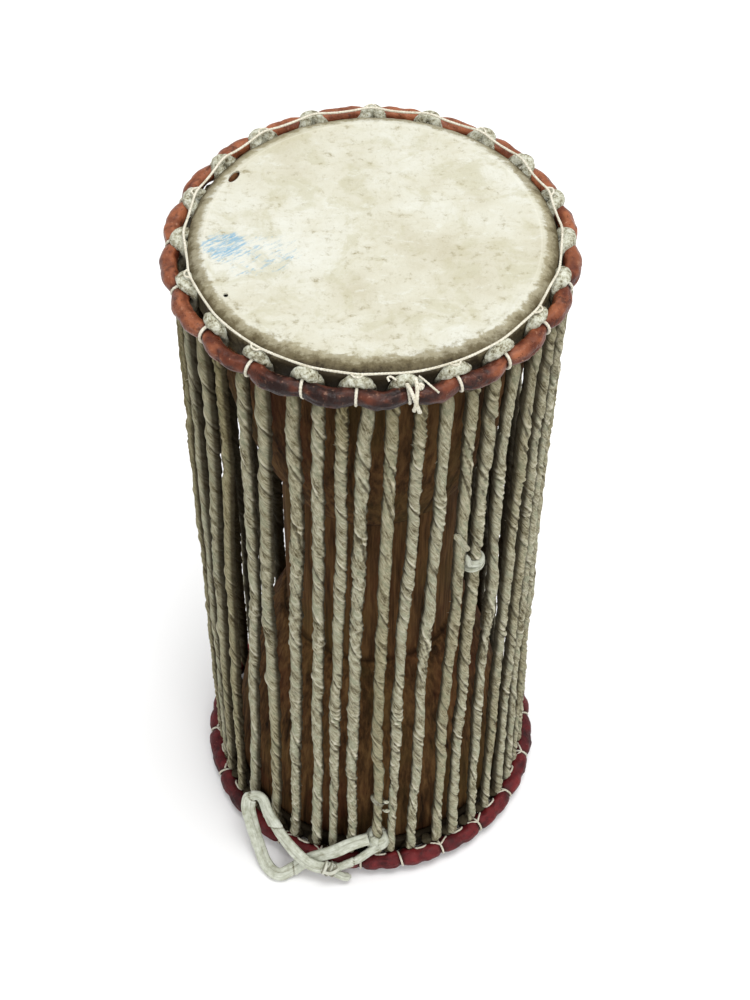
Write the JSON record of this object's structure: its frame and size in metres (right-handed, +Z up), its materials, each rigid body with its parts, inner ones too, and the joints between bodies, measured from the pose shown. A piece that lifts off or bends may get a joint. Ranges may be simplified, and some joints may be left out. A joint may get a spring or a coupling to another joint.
{
  "type": "hourglass pressure drum",
  "caption": "Two-headed hourglass pressure drum with a carved wooden shell, hide heads on padded leather rings, twisted hide lacing all round and a tied strap loop at its foot.",
  "frame": {"origin": "centre of the bottom head's face, which the drum stands on", "axes": "+Z up the drum's axis to the top head, -Y towards the strap loop's side (front), +X to the right"},
  "size_m": [0.1746, 0.1871, 0.3735],
  "materials": {
    "carved_wood": "dark oiled carved wood, worn lighter on the lower bowl",
    "drum_skin": "dry scraped hide, cream with brown stains round the rim",
    "cane": "split cane",
    "top_leather": "red-brown leather, worn orange along the top",
    "bottom_leather": "dark crimson leather",
    "grass_padding": "bundled dry grass",
    "twine": "plied cotton twine",
    "lace_hide": "twisted rawhide, grey-green and fibrous",
    "strap_hide": "folded pale rawhide strip"
  },
  "bodies": {
    "root": {"shell": "carved_wood", "top_head": "drum_skin", "bottom_head": "drum_skin", "top_flesh_hoop": "cane", "bottom_flesh_hoop": "cane", "top_ring_cover": "top_leather", "bottom_ring_cover": "bottom_leather", "top_ring_core": "grass_padding", "bottom_ring_core": "grass_padding", "top_hem_twine": "twine", "bottom_hem_twine": "twine", "top_ring_stitches": "twine", "bottom_ring_stitches": "twine", "top_lace_loops": "lace_hide", "bottom_lace_loops": "lace_hide", "lace_runs_01": "lace_hide", "lace_runs_02": "lace_hide", "lace_runs_03": "lace_hide", "lace_runs_09": "lace_hide", "lace_runs_10": "lace_hide", "lace_runs_11": "lace_hide", "lace_runs_12": "lace_hide", "lace_runs_13": "lace_hide", "lace_runs_14": "lace_hide", "lace_runs_20": "lace_hide", "lace_runs_21": "lace_hide", "splice_knot": "lace_hide", "low_lace_knot": "lace_hide", "strap_wrap": "strap_hide", "twine_knot": "twine", "tail_strap": "strap_hide", "strap_return": "strap_hide", "strap_end": "strap_hide", "tail_knot": "strap_hide"},
    "right_lace_upper_1": {"right_lace_upper_1": "lace_hide"},
    "right_lace_lower_1": {"right_lace_lower_1": "lace_hide"},
    "right_lace_upper_2": {"right_lace_upper_2": "lace_hide"},
    "right_lace_lower_2": {"right_lace_lower_2": "lace_hide"},
    "right_lace_upper_3": {"right_lace_upper_3": "lace_hide"},
    "right_lace_lower_3": {"right_lace_lower_3": "lace_hide"},
    "right_lace_upper_4": {"right_lace_upper_4": "lace_hide"},
    "right_lace_lower_4": {"right_lace_lower_4": "lace_hide"},
    "right_lace_upper_5": {"right_lace_upper_5": "lace_hide"},
    "right_lace_lower_5": {"right_lace_lower_5": "lace_hide"},
    "left_lace_upper_1": {"left_lace_upper_1": "lace_hide"},
    "left_lace_lower_1": {"left_lace_lower_1": "lace_hide"},
    "left_lace_upper_2": {"left_lace_upper_2": "lace_hide"},
    "left_lace_lower_2": {"left_lace_lower_2": "lace_hide"},
    "left_lace_upper_3": {"left_lace_upper_3": "lace_hide"},
    "left_lace_lower_3": {"left_lace_lower_3": "lace_hide"},
    "left_lace_upper_4": {"left_lace_upper_4": "lace_hide"},
    "left_lace_lower_4": {"left_lace_lower_4": "lace_hide"},
    "left_lace_upper_5": {"left_lace_upper_5": "lace_hide"},
    "left_lace_lower_5": {"left_lace_lower_5": "lace_hide"}
  },
  "joints": [
    {"name": "squeeze_right_3", "type": "hinge", "parent": "root", "child": "right_lace_upper_3", "pos_m": [0.07828, -0.00087, 0.3595], "axis": [0.0111, 0.9999, 0], "range_deg": [0, 8], "stiffness_Nm_per_rad": 0.5},
    {"name": "squeeze_left_1", "type": "hinge", "parent": "root", "child": "left_lace_upper_1", "pos_m": [-0.06524, -0.04327, 0.3595], "axis": [0.5527, -0.8334, 0], "range_deg": [0, 3.6], "stiffness_Nm_per_rad": 0.5},
    {"name": "bend_left_1", "type": "hinge", "parent": "left_lace_upper_1", "child": "left_lace_lower_1", "pos_m": [-0.06316, -0.0419, 0.18675], "axis": [0.5527, -0.8334, 0], "range_deg": [-7.2, 0], "stiffness_Nm_per_rad": 0.125},
    {"name": "squeeze_left_2", "type": "hinge", "parent": "root", "child": "left_lace_upper_2", "pos_m": [-0.07564, -0.02018, 0.3595], "axis": [0.2578, -0.9662, 0], "range_deg": [0, 6.4], "stiffness_Nm_per_rad": 0.5},
    {"name": "bend_left_2", "type": "hinge", "parent": "left_lace_upper_2", "child": "left_lace_lower_2", "pos_m": [-0.07323, -0.01954, 0.18675], "axis": [0.2578, -0.9662, 0], "range_deg": [-12.8, 0], "stiffness_Nm_per_rad": 0.125},
    {"name": "squeeze_left_3", "type": "hinge", "parent": "root", "child": "left_lace_upper_3", "pos_m": [-0.07815, 0.0047, 0.3595], "axis": [-0.06, -0.9982, 0], "range_deg": [0, 8], "stiffness_Nm_per_rad": 0.5},
    {"name": "bend_left_3", "type": "hinge", "parent": "left_lace_upper_3", "child": "left_lace_lower_3", "pos_m": [-0.07566, 0.00455, 0.18675], "axis": [-0.06, -0.9982, 0], "range_deg": [-16, 0], "stiffness_Nm_per_rad": 0.125},
    {"name": "squeeze_left_4", "type": "hinge", "parent": "root", "child": "left_lace_upper_4", "pos_m": [-0.07305, 0.02816, 0.3595], "axis": [-0.3597, -0.9331, 0], "range_deg": [0, 6.4], "stiffness_Nm_per_rad": 0.5},
    {"name": "bend_left_4", "type": "hinge", "parent": "left_lace_upper_4", "child": "left_lace_lower_4", "pos_m": [-0.07072, 0.02726, 0.18675], "axis": [-0.3597, -0.9331, 0], "range_deg": [-12.8, 0], "stiffness_Nm_per_rad": 0.125},
    {"name": "squeeze_left_5", "type": "hinge", "parent": "root", "child": "left_lace_upper_5", "pos_m": [-0.06152, 0.04842, 0.3595], "axis": [-0.6185, -0.7858, 0], "range_deg": [0, 3.6], "stiffness_Nm_per_rad": 0.5},
    {"name": "bend_left_5", "type": "hinge", "parent": "left_lace_upper_5", "child": "left_lace_lower_5", "pos_m": [-0.05956, 0.04688, 0.18675], "axis": [-0.6185, -0.7858, 0], "range_deg": [-7.2, 0], "stiffness_Nm_per_rad": 0.125},
    {"name": "squeeze_right_1", "type": "hinge", "parent": "root", "child": "right_lace_upper_1", "pos_m": [0.0653, 0.04319, 0.3595], "axis": [-0.5516, 0.8341, 0], "range_deg": [0, 3.6], "stiffness_Nm_per_rad": 0.5},
    {"name": "bend_right_1", "type": "hinge", "parent": "right_lace_upper_1", "child": "right_lace_lower_1", "pos_m": [0.06322, 0.04181, 0.18675], "axis": [-0.5516, 0.8341, 0], "range_deg": [-7.2, 0], "stiffness_Nm_per_rad": 0.125},
    {"name": "squeeze_right_2", "type": "hinge", "parent": "root", "child": "right_lace_upper_2", "pos_m": [0.07508, 0.02219, 0.3595], "axis": [-0.2835, 0.959, 0], "range_deg": [0, 6.4], "stiffness_Nm_per_rad": 0.5},
    {"name": "bend_right_2", "type": "hinge", "parent": "right_lace_upper_2", "child": "right_lace_lower_2", "pos_m": [0.07269, 0.02149, 0.18675], "axis": [-0.2835, 0.959, 0], "range_deg": [-12.8, 0], "stiffness_Nm_per_rad": 0.125},
    {"name": "bend_right_3", "type": "hinge", "parent": "right_lace_upper_3", "child": "right_lace_lower_3", "pos_m": [0.07579, -0.00084, 0.18675], "axis": [0.0111, 0.9999, 0], "range_deg": [-16, 0], "stiffness_Nm_per_rad": 0.125},
    {"name": "squeeze_right_4", "type": "hinge", "parent": "root", "child": "right_lace_upper_4", "pos_m": [0.0744, -0.02436, 0.3595], "axis": [0.3112, 0.9504, 0], "range_deg": [0, 6.4], "stiffness_Nm_per_rad": 0.5},
    {"name": "bend_right_4", "type": "hinge", "parent": "right_lace_upper_4", "child": "right_lace_lower_4", "pos_m": [0.07203, -0.02359, 0.18675], "axis": [0.3112, 0.9504, 0], "range_deg": [-12.8, 0], "stiffness_Nm_per_rad": 0.125},
    {"name": "squeeze_right_5", "type": "hinge", "parent": "root", "child": "right_lace_upper_5", "pos_m": [0.06356, -0.04571, 0.3595], "axis": [0.5838, 0.8119, 0], "range_deg": [0, 3.6], "stiffness_Nm_per_rad": 0.5},
    {"name": "bend_right_5", "type": "hinge", "parent": "right_lace_upper_5", "child": "right_lace_lower_5", "pos_m": [0.06154, -0.04425, 0.18675], "axis": [0.5838, 0.8119, 0], "range_deg": [-7.2, 0], "stiffness_Nm_per_rad": 0.125}
  ],
  "couplings": [
    {"joint": "squeeze_right_1", "follows": "squeeze_right_3", "ratio": 0.45},
    {"joint": "bend_right_1", "follows": "squeeze_right_3", "ratio": -0.9},
    {"joint": "squeeze_right_2", "follows": "squeeze_right_3", "ratio": 0.8},
    {"joint": "bend_right_2", "follows": "squeeze_right_3", "ratio": -1.6},
    {"joint": "bend_right_3", "follows": "squeeze_right_3", "ratio": -2},
    {"joint": "squeeze_right_4", "follows": "squeeze_right_3", "ratio": 0.8},
    {"joint": "bend_right_4", "follows": "squeeze_right_3", "ratio": -1.6},
    {"joint": "squeeze_right_5", "follows": "squeeze_right_3", "ratio": 0.45},
    {"joint": "bend_right_5", "follows": "squeeze_right_3", "ratio": -0.9},
    {"joint": "squeeze_left_1", "follows": "squeeze_right_3", "ratio": 0.45},
    {"joint": "bend_left_1", "follows": "squeeze_right_3", "ratio": -0.9},
    {"joint": "squeeze_left_2", "follows": "squeeze_right_3", "ratio": 0.8},
    {"joint": "bend_left_2", "follows": "squeeze_right_3", "ratio": -1.6},
    {"joint": "squeeze_left_3", "follows": "squeeze_right_3", "ratio": 1},
    {"joint": "bend_left_3", "follows": "squeeze_right_3", "ratio": -2},
    {"joint": "squeeze_left_4", "follows": "squeeze_right_3", "ratio": 0.8},
    {"joint": "bend_left_4", "follows": "squeeze_right_3", "ratio": -1.6},
    {"joint": "squeeze_left_5", "follows": "squeeze_right_3", "ratio": 0.45},
    {"joint": "bend_left_5", "follows": "squeeze_right_3", "ratio": -0.9}
  ]
}
